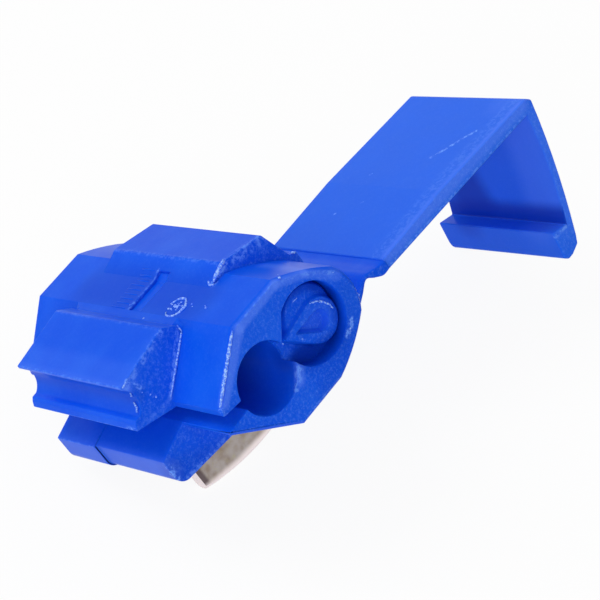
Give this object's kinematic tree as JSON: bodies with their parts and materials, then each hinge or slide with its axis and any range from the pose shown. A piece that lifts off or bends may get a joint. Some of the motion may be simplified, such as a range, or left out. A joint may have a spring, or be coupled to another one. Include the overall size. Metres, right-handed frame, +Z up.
{
  "type": "t-tap wire connector",
  "caption": "Open tap connector: moulded housing with a through channel and a blind channel, hinged snap lid and a slotted contact plate standing proud.",
  "frame": {"origin": "middle of the underside of the bounding box, on the table it lies on", "axes": "+Z up as the open connector lies on its body's left end, the lid's lip and the contact's foot; +Y from the wire channels to the open lid; the wires run along +X, dipping towards -X"},
  "size_m": [0.0226, 0.0366, 0.0167],
  "materials": {
    "blue_plastic": "glossy moulded polypropylene, clear mid blue",
    "tinned_brass": "dull tin plating over brass"
  },
  "bodies": {
    "housing": {"housing": "blue_plastic", "living_hinge": "blue_plastic"},
    "lid": {"lid": "blue_plastic"},
    "contact": {"contact": "tinned_brass"}
  },
  "joints": [
    {"name": "lid_hinge", "type": "hinge", "parent": "housing", "child": "lid", "pos_m": [0.00167, -0.00103, 0.00628], "axis": [-0.8769, 0.1403, -0.4597], "range_deg": [0, 180], "deforming": ["living_hinge"]},
    {"name": "contact_press", "type": "slide", "parent": "housing", "child": "contact", "axis": [-0.4806, -0.2559, 0.8387], "range_m": [0, 0.0043]}
  ],
  "couplings": [
    {"joint": "contact_press", "follows": "lid_hinge", "m_per_rad": 0.0013687}
  ]
}
